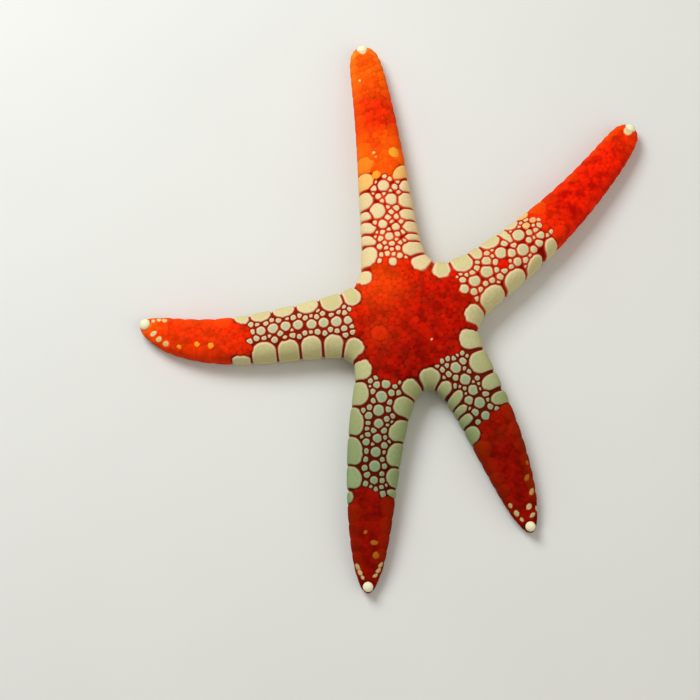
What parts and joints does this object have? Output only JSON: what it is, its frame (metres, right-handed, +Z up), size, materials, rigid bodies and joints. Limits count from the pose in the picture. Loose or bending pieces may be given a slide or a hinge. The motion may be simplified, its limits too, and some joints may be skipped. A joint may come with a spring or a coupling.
{
  "type": "necklace sea star model",
  "caption": "Life-size still model of a tiled sea star with a red disc, cream-tiled arm bases, red arm tips and a grooved flat underside.",
  "frame": {"origin": "centre of the model's plan, on the floor that the mouth side rests on", "axes": "+Z up out of the back; +Y towards the longest arm, the one pointing away in the reference view; +X to the right of it, towards the arm opposite the sieve plate's side"},
  "size_m": [0.0916, 0.103, 0.0084],
  "materials": {
    "disc_red": "finely granular, deep red skin over small plates",
    "tile_cream": "finely granular cream plates in dark red seams",
    "tip_red": "finely granular orange-red plates",
    "eye_ivory": "smooth ivory end plate",
    "sieve_orange": "finely furrowed sieve plate",
    "mouth_buff": "small buff jaw plates"
  },
  "bodies": {
    "root": {"disc": "disc_red", "mouth_jaws": "mouth_buff", "sieve_plate": "sieve_orange", "arm_a_base": "tile_cream", "arm_a_tip": "tip_red", "eye_plate_a": "eye_ivory", "arm_b_base": "tile_cream", "arm_b_tip": "tip_red", "eye_plate_b": "eye_ivory", "arm_c_base": "tile_cream", "arm_c_tip": "tip_red", "eye_plate_c": "eye_ivory", "arm_d_base": "tile_cream", "arm_d_tip": "tip_red", "eye_plate_d": "eye_ivory", "arm_e_base": "tile_cream", "arm_e_tip": "tip_red", "eye_plate_e": "eye_ivory"}
  },
  "joints": []
}
